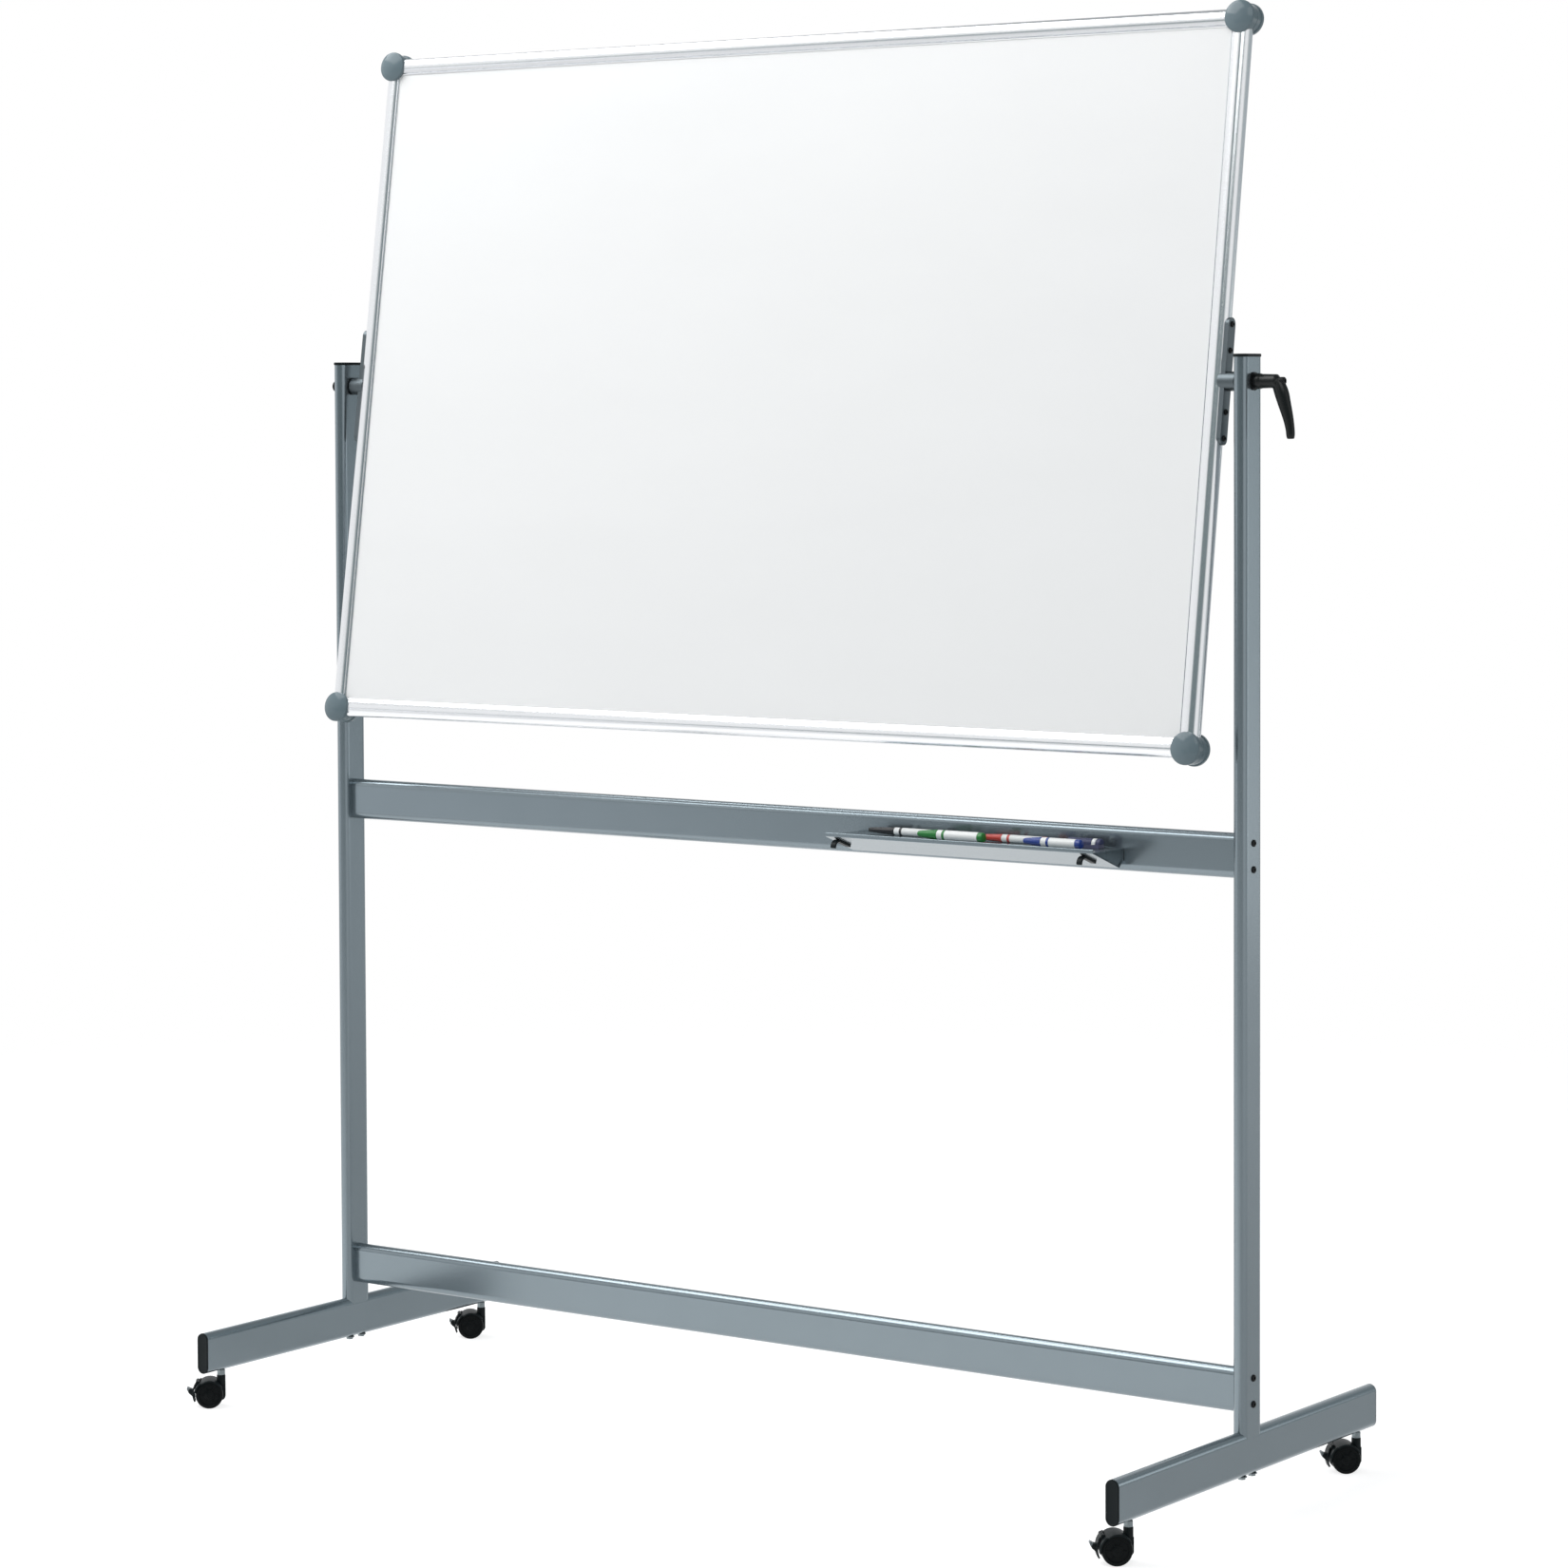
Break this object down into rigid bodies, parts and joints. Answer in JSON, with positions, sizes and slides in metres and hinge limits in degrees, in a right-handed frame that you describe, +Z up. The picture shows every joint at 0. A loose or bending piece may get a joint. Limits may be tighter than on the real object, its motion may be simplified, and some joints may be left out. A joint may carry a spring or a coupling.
{
  "type": "rolling whiteboard",
  "caption": "Two-sided white writing board that turns between two oval posts on a caster stand, with crossbars, a clamping lever and a pen tray.",
  "frame": {"origin": "on the floor, straight below the middle of the board's turning axis", "axes": "+X along the board towards the clamping lever, +Y from front to back, +Z up"},
  "size_m": [1.6785, 0.682, 2.0098],
  "materials": {
    "frame_paint": "satin silver-grey powder coat",
    "rail": "pale anodised",
    "board_face": "gloss white enamel",
    "panel_core": "raw fibreboard",
    "corner_cap": "gloss blue-grey",
    "black_plastic": "fine-textured black",
    "black_screw": "black oxide",
    "zinc": "zinc plated",
    "bracket": "satin anodised",
    "wheel": "black nylon",
    "magnet": "matt magnet strip",
    "black_pen": "gloss",
    "green_pen": "gloss",
    "red_pen": "gloss",
    "blue_pen": "gloss",
    "eraser": "felt"
  },
  "bodies": {
    "stand": {"left_post": "frame_paint", "right_post": "frame_paint", "post_top_caps": "black_plastic", "left_foot": "frame_paint", "right_foot": "frame_paint", "foot_end_caps": "black_plastic", "upper_crossbar": "frame_paint", "lower_crossbar": "frame_paint", "crossbar_inserts": "black_plastic", "crossbar_screws": "black_screw", "post_foot_inserts": "black_plastic", "foot_bolts": "zinc", "caster_sockets": "black_plastic", "caster_stems": "zinc", "pivot_bushes": "black_plastic", "pivot_washers": "black_screw"},
    "board": {"board_core": "panel_core", "writing_sheets": "board_face", "top_rail": "rail", "bottom_rail": "rail", "left_rail": "rail", "right_rail": "rail", "corner_connectors": "black_plastic", "corner_caps": "corner_cap", "pivot_plates": "bracket", "pivot_plate_screws": "black_screw", "pivot_studs": "zinc", "left_pivot_nut": "black_screw"},
    "lever_insert": {"lever_insert": "black_screw", "lever_screw": "black_screw"},
    "lever_handle": {"lever_handle": "black_plastic", "lever_spring": "zinc"},
    "pen_tray": {"pen_tray": "frame_paint", "tray_hooks": "black_plastic", "tray_magnets": "magnet"},
    "black_marker": {"black_marker": "black_pen"},
    "green_marker": {"green_marker": "green_pen"},
    "red_marker": {"red_marker": "red_pen"},
    "blue_marker": {"blue_marker": "blue_pen"},
    "board_eraser": {"board_eraser": "eraser"},
    "front_left_caster": {"front_left_caster_housing": "black_plastic", "front_left_caster_axle": "zinc"},
    "front_left_caster_wheel_a": {"front_left_caster_wheel_a": "wheel"},
    "front_left_caster_wheel_b": {"front_left_caster_wheel_b": "wheel"},
    "front_left_caster_brake": {"front_left_caster_brake": "black_plastic"},
    "front_right_caster": {"front_right_caster_housing": "black_plastic", "front_right_caster_axle": "zinc"},
    "front_right_caster_wheel_a": {"front_right_caster_wheel_a": "wheel"},
    "front_right_caster_wheel_b": {"front_right_caster_wheel_b": "wheel"},
    "front_right_caster_brake": {"front_right_caster_brake": "black_plastic"},
    "rear_left_caster": {"rear_left_caster_housing": "black_plastic", "rear_left_caster_axle": "zinc"},
    "rear_left_caster_wheel_a": {"rear_left_caster_wheel_a": "wheel"},
    "rear_left_caster_wheel_b": {"rear_left_caster_wheel_b": "wheel"},
    "rear_left_caster_brake": {"rear_left_caster_brake": "black_plastic"},
    "rear_right_caster": {"rear_right_caster_housing": "black_plastic", "rear_right_caster_axle": "zinc"},
    "rear_right_caster_wheel_a": {"rear_right_caster_wheel_a": "wheel"},
    "rear_right_caster_wheel_b": {"rear_right_caster_wheel_b": "wheel"},
    "rear_right_caster_brake": {"rear_right_caster_brake": "black_plastic"}
  },
  "joints": [
    {"name": "board_turn", "type": "hinge", "parent": "stand", "child": "board", "pos_m": [0, 0, 1.504], "axis": [1, 0, 0], "continuous": true},
    {"name": "lever_clamp", "type": "hinge", "parent": "board", "child": "lever_insert", "pos_m": [0.8, 0, 1.504], "axis": [1, 0, 0], "range_deg": [0, 150]},
    {"name": "lever_lift", "type": "slide", "parent": "lever_insert", "child": "lever_handle", "axis": [1, 0, 0], "range_m": [0, 0.005], "stiffness_N_per_m": 400, "springref_m": -0.002, "deforming": ["lever_spring"]},
    {"name": "tray_slide", "type": "slide", "parent": "stand", "child": "pen_tray", "axis": [1, 0, 0], "range_m": [-0.9, 0.15]},
    {"name": "black_marker_lift_out", "type": "slide", "parent": "pen_tray", "child": "black_marker", "axis": [0, 0, 1], "range_m": [0, 0.1]},
    {"name": "green_marker_lift_out", "type": "slide", "parent": "pen_tray", "child": "green_marker", "axis": [0, 0, 1], "range_m": [0, 0.1]},
    {"name": "red_marker_lift_out", "type": "slide", "parent": "pen_tray", "child": "red_marker", "axis": [0, 0, 1], "range_m": [0, 0.1]},
    {"name": "blue_marker_lift_out", "type": "slide", "parent": "pen_tray", "child": "blue_marker", "axis": [0, 0, 1], "range_m": [0, 0.1]},
    {"name": "board_eraser_lift_out", "type": "slide", "parent": "pen_tray", "child": "board_eraser", "axis": [0, 0, 1], "range_m": [0, 0.1]},
    {"name": "front_left_caster_swivel", "type": "hinge", "parent": "stand", "child": "front_left_caster", "pos_m": [-0.782, -0.301, 0.04], "axis": [0, 0, 1], "continuous": true},
    {"name": "front_left_caster_wheel_a_spin", "type": "hinge", "parent": "front_left_caster", "child": "front_left_caster_wheel_a", "pos_m": [-0.79483, -0.31215, 0.02], "axis": [0.6561, -0.7547, 0], "continuous": true},
    {"name": "front_left_caster_wheel_b_spin", "type": "hinge", "parent": "front_left_caster", "child": "front_left_caster_wheel_b", "pos_m": [-0.79483, -0.31215, 0.02], "axis": [0.6561, -0.7547, 0], "continuous": true},
    {"name": "front_left_caster_brake_press", "type": "hinge", "parent": "front_left_caster", "child": "front_left_caster_brake", "pos_m": [-0.80791, -0.32353, 0.03674], "axis": [0.6561, -0.7547, 0], "range_deg": [0, 7], "stiffness_Nm_per_rad": 0.005, "springref_deg": -20.05},
    {"name": "front_right_caster_swivel", "type": "hinge", "parent": "stand", "child": "front_right_caster", "pos_m": [0.782, -0.301, 0.04], "axis": [0, 0, 1], "continuous": true},
    {"name": "front_right_caster_wheel_a_spin", "type": "hinge", "parent": "front_right_caster", "child": "front_right_caster_wheel_a", "pos_m": [0.76917, -0.31215, 0.02], "axis": [0.6561, -0.7547, 0], "continuous": true},
    {"name": "front_right_caster_wheel_b_spin", "type": "hinge", "parent": "front_right_caster", "child": "front_right_caster_wheel_b", "pos_m": [0.76917, -0.31215, 0.02], "axis": [0.6561, -0.7547, 0], "continuous": true},
    {"name": "front_right_caster_brake_press", "type": "hinge", "parent": "front_right_caster", "child": "front_right_caster_brake", "pos_m": [0.75609, -0.32353, 0.03674], "axis": [0.6561, -0.7547, 0], "range_deg": [0, 7], "stiffness_Nm_per_rad": 0.005, "springref_deg": -20.05},
    {"name": "rear_left_caster_swivel", "type": "hinge", "parent": "stand", "child": "rear_left_caster", "pos_m": [-0.782, 0.301, 0.04], "axis": [0, 0, 1], "continuous": true},
    {"name": "rear_left_caster_wheel_a_spin", "type": "hinge", "parent": "rear_left_caster", "child": "rear_left_caster_wheel_a", "pos_m": [-0.79483, 0.28985, 0.02], "axis": [0.6561, -0.7547, 0], "continuous": true},
    {"name": "rear_left_caster_wheel_b_spin", "type": "hinge", "parent": "rear_left_caster", "child": "rear_left_caster_wheel_b", "pos_m": [-0.79483, 0.28985, 0.02], "axis": [0.6561, -0.7547, 0], "continuous": true},
    {"name": "rear_left_caster_brake_press", "type": "hinge", "parent": "rear_left_caster", "child": "rear_left_caster_brake", "pos_m": [-0.80791, 0.27847, 0.03674], "axis": [0.6561, -0.7547, 0], "range_deg": [0, 7], "stiffness_Nm_per_rad": 0.005, "springref_deg": -20.05},
    {"name": "rear_right_caster_swivel", "type": "hinge", "parent": "stand", "child": "rear_right_caster", "pos_m": [0.782, 0.301, 0.04], "axis": [0, 0, 1], "continuous": true},
    {"name": "rear_right_caster_wheel_a_spin", "type": "hinge", "parent": "rear_right_caster", "child": "rear_right_caster_wheel_a", "pos_m": [0.76917, 0.28985, 0.02], "axis": [0.6561, -0.7547, 0], "continuous": true},
    {"name": "rear_right_caster_wheel_b_spin", "type": "hinge", "parent": "rear_right_caster", "child": "rear_right_caster_wheel_b", "pos_m": [0.76917, 0.28985, 0.02], "axis": [0.6561, -0.7547, 0], "continuous": true},
    {"name": "rear_right_caster_brake_press", "type": "hinge", "parent": "rear_right_caster", "child": "rear_right_caster_brake", "pos_m": [0.75609, 0.27847, 0.03674], "axis": [0.6561, -0.7547, 0], "range_deg": [0, 7], "stiffness_Nm_per_rad": 0.005, "springref_deg": -20.05}
  ]
}
